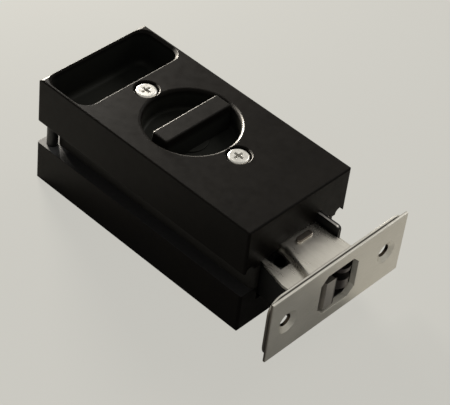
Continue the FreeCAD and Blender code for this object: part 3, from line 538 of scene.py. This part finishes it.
def bracket_finish():
    return flat_black("bracket_satin_black", satin_black, rough=0.38, grain_scale=600,
                      rubbed_highlight_mask=bracket_rubbed_highlight_share)


def tray_finish():
    return flat_black("tray_blackened", tray_black, rough=0.5, grain_scale=800)


def screw_finish():
    return plated_metal("screw_bright_nickel", dark=(0.50, 0.49, 0.47), light=(0.66, 0.65, 0.62),
                        rough=0.34, streaks=(1500, 1500, 400), streak_strength=0.08)


def zinc_finish():
    return plated_metal("zinc_plate", dark=(0.45, 0.45, 0.44), light=(0.60, 0.60, 0.60),
                        rough=0.40, streaks=(900, 900, 900), streak_strength=0.1)


def spring_finish():
    return plated_metal("spring_steel_oiled", dark=(0.16, 0.155, 0.15), light=(0.26, 0.25, 0.24),
                        rough=0.34, streaks=(1200, 1200, 300), streak_strength=0.1)


def hook_finish():
    # The hook's throat gets painted shade
    return plated_metal("hook_satin_nickel", dark=(0.33, 0.31, 0.295), light=(0.42, 0.40, 0.385),
                        rough=0.38, streaks=(700, 700, 2500), streak_strength=0.08,
                        stains_and_shades=[(throat_shade_share, hook_throat_shade)])


def case_finish():
    # The lanced tab gets painted shade
    return plated_metal("case_satin_nickel", dark=(0.63, 0.60, 0.55), light=(0.74, 0.71, 0.655),
                        rough=0.29, streaks=(300, 1100, 1100), streak_strength=0.012,
                        rough_change=0.015, stains_and_shades=[(tab_shade_share, tab_painted_shade)])


def faceplate_finish():
    # The joint and the screw holes get painted shade; the sheared short edges are stained
    stains_and_shades = [(sheared_share, sheared_metal), (joint_shade_share, joint_painted_shade), (hole_shade_share, hole_painted_shade)]
    return plated_metal("faceplate_satin_nickel", dark=(0.60, 0.58, 0.535), light=(0.74, 0.72, 0.67),
                        rough=0.33, streaks=(2600, 260, 3400), streak_strength=0.14,
                        stains_and_shades=stains_and_shades, roughened=punched_share)


def make_finishes():
    """A finish for each material slot of the record."""
    return {
        "shell_black": powder_coat("powder_coat_black", gloss=0.05),
        "core_black": core_finish(),
        "post_black": post_finish(),
        "bracket_black": bracket_finish(),
        "tray_black": tray_finish(),
        "screw_steel": screw_finish(),
        "zinc_steel": zinc_finish(),
        "spring_steel": spring_finish(),
        "hook_steel": hook_finish(),
        "case_steel": case_finish(),
        "faceplate_nickel": faceplate_finish(),
    }


def dress_nodes():
    """Gives every CAD node its material. The thumb turn is polished a little by hands."""
    finishes = make_finishes()
    handled = powder_coat("powder_coat_handled", gloss=0.08)
    for part in frame["record"]["subparts"]:
        finish = finishes[part["material_slot"]]
        if part["node"] == "thumb_turn":
            finish = handled
        node = frame["nodes"][part["node"]]
        node.data.materials.clear()
        node.data.materials.append(finish)


# Surroundings


def floor_paper():
    """Pale paper that shows the camera about its written colour and still takes the lock's shadow."""
    nodes = Finish("floor_paper")
    lighter = tuple(backdrop_mottling * part for part in backdrop_colour)
    tone = nodes.mix(nodes.noise(scale=2.5, detail=2.0), backdrop_colour, lighter)
    nodes.feed(nodes.shader, Base_Color=tone, Roughness=0.9, Specular_IOR_Level=0.0)
    glow = nodes.feed(nodes.add("ShaderNodeEmission"), Color=tone, Strength=1.0)
    path = nodes.add("ShaderNodeLightPath").outputs
    share = nodes.total(nodes.product(path["Is Camera Ray"], floor_glow),
                        nodes.product(path["Is Glossy Ray"], floor_glow_reflected))
    nodes.blend(share, nodes.shader, glow, nodes.tree.nodes["Material Output"].inputs[0])
    return nodes.material


def make_floor():
    """A wide round floor just under the lock."""
    turns = [2 * math.pi * corner / floor_corners for corner in range(floor_corners)]
    rim = [(floor_reach * math.cos(turn), floor_reach * math.sin(turn), 0.0) for turn in turns]
    mesh = bpy.data.meshes.new("studio_floor")
    mesh.from_pydata(rim, [], [tuple(range(floor_corners))])
    mesh.materials.append(floor_paper())
    floor = bpy.data.objects.new("studio_floor", mesh)
    floor.location.z = cad_low.z - floor_gap
    bpy.context.scene.collection.objects.link(floor)


def make_world():
    """A pale world: the backdrop's colour to the camera and in reflections, a soft fill for the rest."""
    world = bpy.data.worlds.new("studio_world")
    world.use_nodes = True
    nodes = Nodes(world.node_tree)
    fill = nodes.feed(nodes.tree.nodes["Background"], Color=fill_colour, Strength=world_strength)
    seen = nodes.feed(nodes.add("ShaderNodeBackground"), Color=backdrop_colour, Strength=1.0)
    path = nodes.add("ShaderNodeLightPath").outputs
    share = nodes.larger(path["Is Camera Ray"], path["Is Glossy Ray"])
    nodes.blend(share, fill, seen, nodes.tree.nodes["World Output"].inputs[0])
    bpy.context.scene.world = world


def aim_axes(azimuth, elevation):
    """Horizontal right, up and back for a view from that side."""
    turn, rise = math.radians(azimuth), math.radians(elevation)
    back = Vector((math.sin(turn) * math.cos(rise), -math.cos(turn) * math.cos(rise), math.sin(rise)))
    right = Vector((math.cos(turn), math.sin(turn), 0.0))
    return right, back.cross(right), back


def soft_box(name, azimuth, elevation, distance, target, size, power, colour):
    """A flat rectangular lamp that looks at target from that side."""
    right, up, back = aim_axes(azimuth, elevation)
    data = bpy.data.lights.new(name, "AREA")
    data.shape = "RECTANGLE"
    data.size, data.size_y = size
    data.energy = power
    data.color = colour
    lamp = bpy.data.objects.new(name, data)
    axes = Matrix((right, up, back)).transposed().to_4x4()
    lamp.matrix_world = Matrix.Translation(target + back * distance) @ axes
    lamp.visible_camera = False
    bpy.context.scene.collection.objects.link(lamp)


def make_lamps():
    """A low window-like lamp close to the pull end, and a weaker one from behind."""
    soft_box("window_softbox", azimuth=245.0, elevation=18.0, distance=0.30, target=window_target,
             size=(0.10, 0.18), power=3.0, colour=window_colour)
    soft_box("back_softbox", azimuth=180.0, elevation=40.0, distance=1.0, target=back_target,
             size=(0.3, 0.3), power=2.0, colour=back_colour)


def make_camera():
    """The photograph's camera."""
    right, up, back = aim_axes(view_azimuth, view_elevation)
    roll = math.radians(view_roll)
    rolled_right = right * math.cos(roll) + up * math.sin(roll)
    rolled_up = up * math.cos(roll) - right * math.sin(roll)
    data = bpy.data.cameras.new("photo_camera")
    data.sensor_width = sensor_width
    data.sensor_fit = "HORIZONTAL"
    data.lens = view_lens
    data.shift_x, data.shift_y = view_shift
    data.clip_start, data.clip_end = view_clip
    camera = bpy.data.objects.new("photo_camera", data)
    axes = Matrix((rolled_right, rolled_up, back)).transposed().to_4x4()
    camera.matrix_world = Matrix.Translation(view_aim + back * view_distance) @ axes
    bpy.context.scene.collection.objects.link(camera)
    bpy.context.scene.camera = camera


dress_nodes()
make_floor()
make_world()
make_lamps()
make_camera()
bpy.context.scene.view_settings.view_transform = "Standard"
